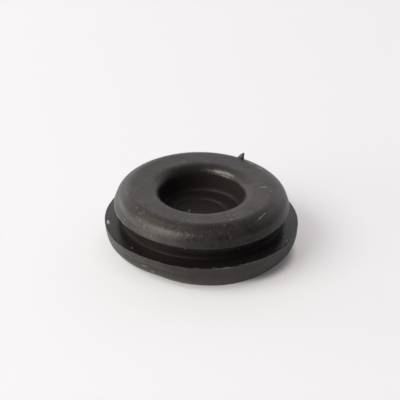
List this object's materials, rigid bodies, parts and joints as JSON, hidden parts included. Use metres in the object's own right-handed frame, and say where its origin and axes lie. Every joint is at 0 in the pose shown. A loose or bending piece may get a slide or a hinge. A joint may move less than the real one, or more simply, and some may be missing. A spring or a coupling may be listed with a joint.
{
  "type": "blind rubber grommet",
  "caption": "Round moulded rubber blanking grommet with a low bevelled head, a wider flange, a panel groove between them and a closed web across its middle.",
  "frame": {"origin": "centre of the flat foot ring that the grommet rests on, on its axis", "axes": "+Z along the grommet's axis, from the foot ring up to the head; X and Y lie in the foot ring's plane, and the vent pip stands 59 degrees round from +X towards +Y"},
  "size_m": [0.0258, 0.0258, 0.0092],
  "materials": {
    "rubber": "matte moulded"
  },
  "bodies": {
    "root": {"grommet": "rubber"}
  },
  "joints": []
}
